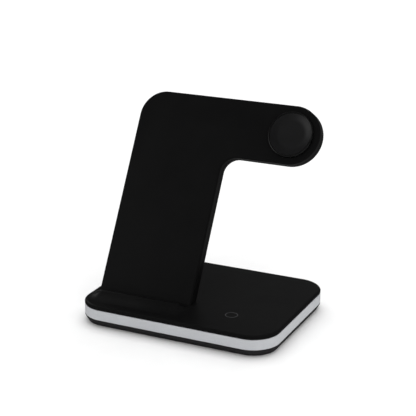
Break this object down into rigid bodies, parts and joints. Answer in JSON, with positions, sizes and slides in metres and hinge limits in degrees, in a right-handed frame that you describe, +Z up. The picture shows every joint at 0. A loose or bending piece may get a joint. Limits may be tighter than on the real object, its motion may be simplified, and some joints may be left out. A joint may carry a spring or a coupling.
{
  "type": "wireless charging station",
  "caption": "Black desk charging station: slab base with a light band, a plate leaning back above a low ledge, a side arm with a round charging puck and a flat charging deck.",
  "frame": {"origin": "middle of the base's outline, on the surface that the feet stand on", "axes": "+X to the right along the base's long side, +Y to the back, +Z up; the plate faces -Y"},
  "size_m": [0.1386, 0.1048, 0.1376],
  "materials": {
    "cover_black": "fine-grained soft-touch black",
    "tray_black": "fine-grained black",
    "stand_black": "fine-grained soft-touch black",
    "band_white": "milky translucent, satin",
    "foot_rubber": "matte rubber",
    "puck_black": "polished black rim",
    "dish_black": "satin black",
    "coil_copper": "varnished copper wire",
    "ferrite_grey": "dull pressed ferrite",
    "carrier_plastic": "natural moulded plastic",
    "magnet_nickel": "nickel plate",
    "board_green": "solder mask",
    "chip_black": "moulded chip",
    "choke_grey": "pressed powder",
    "capacitor_tan": "fired",
    "socket_white": "moulded",
    "strip_white": "white coat",
    "lamp_yellow": "clear over phosphor",
    "touch_foil": "copper foil",
    "inlet_steel": "drawn sheet",
    "inlet_black": "moulded",
    "lead_grey": "flexible jacket"
  },
  "bodies": {
    "root": {"bottom_tray": "tray_black", "light_band": "band_white", "top_cover": "cover_black", "rubber_feet": "foot_rubber", "stand_front_shell": "stand_black", "stand_rear_shell": "stand_black", "plate_coil": "coil_copper", "plate_shield": "ferrite_grey", "coil_carrier": "carrier_plastic", "puck_cup": "puck_black", "puck_dish": "dish_black", "puck_shield": "ferrite_grey", "puck_coil": "coil_copper", "puck_magnet": "magnet_nickel", "deck_coil": "coil_copper", "deck_shield": "ferrite_grey", "touch_pad": "touch_foil", "lamp_strips": "strip_white", "lamps": "lamp_yellow", "main_board": "board_green", "driver_chips": "chip_black", "power_chokes": "choke_grey", "tank_capacitors": "capacitor_tan", "wire_sockets": "socket_white", "inlet_shell": "inlet_steel", "inlet_core": "inlet_black", "inlet_bezel": "inlet_black", "plate_lead": "lead_grey", "puck_lead": "lead_grey", "deck_lead": "lead_grey", "touch_lead": "lead_grey"}
  },
  "joints": []
}
